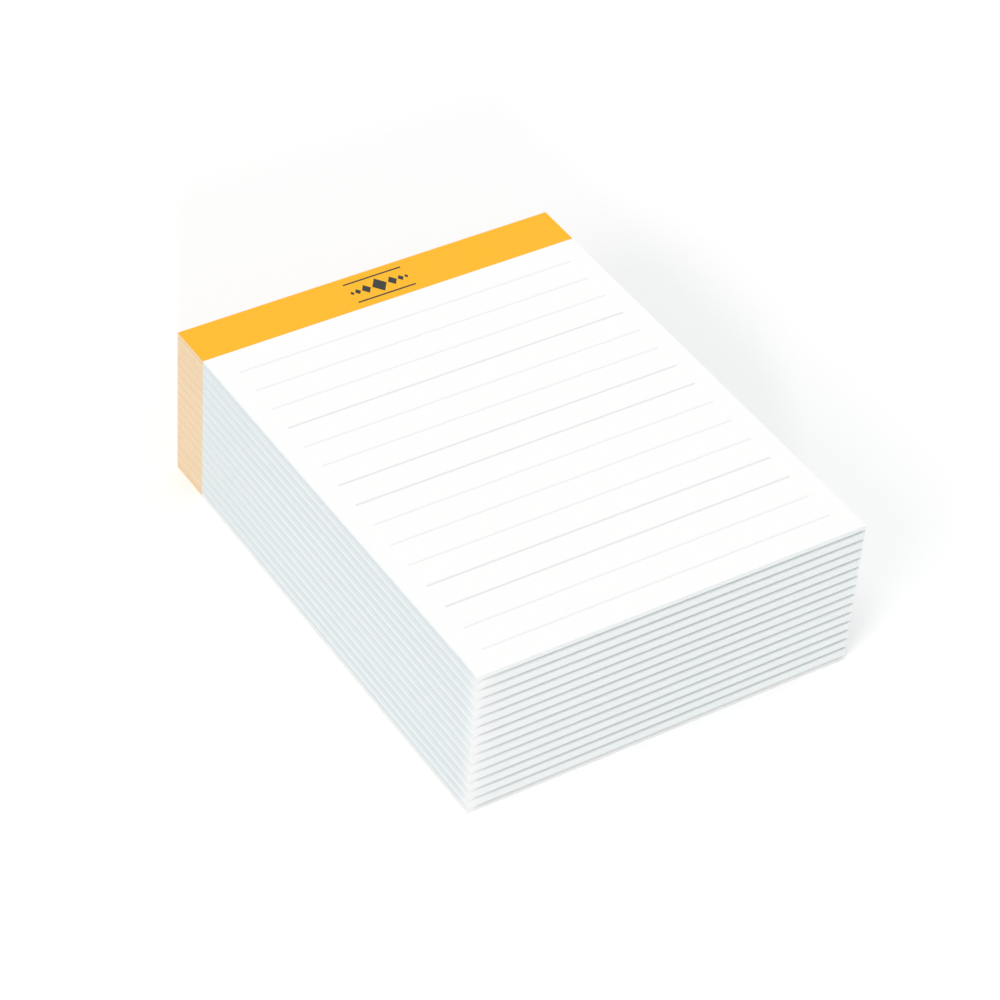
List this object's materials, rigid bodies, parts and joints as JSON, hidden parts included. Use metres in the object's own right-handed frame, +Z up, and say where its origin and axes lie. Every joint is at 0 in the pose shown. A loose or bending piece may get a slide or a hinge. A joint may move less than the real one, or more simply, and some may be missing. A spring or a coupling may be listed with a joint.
{
  "type": "legal pad",
  "caption": "Thick ruled writing pad bound at its head with glue, with a solid coloured header band, evenly spaced writing lines and a stiff board under the sheets.",
  "frame": {"origin": "middle of the footprint, on the surface that the pad lies on", "axes": "+X to the reader's right, +Y towards the bound head, +Z up out of the writing side"},
  "size_m": [0.108, 0.1404, 0.0434],
  "materials": {
    "paper": "uncoated white writing paper",
    "board": "pale pulp board",
    "padding_glue": "thin brushed film of clear flexible padding glue over tinted sheet edges",
    "header_ink": "solid amber offset ink on paper",
    "edge_tint": "pale peach where the header ink shows on the cut edges",
    "rule_ink": "pale grey offset ink on paper"
  },
  "bodies": {
    "root": {"page_block": "paper", "backing_board": "board", "spine_glue": "padding_glue", "header_print": "header_ink", "header_edge_tint": "edge_tint", "rule_lines": "rule_ink"}
  },
  "joints": []
}
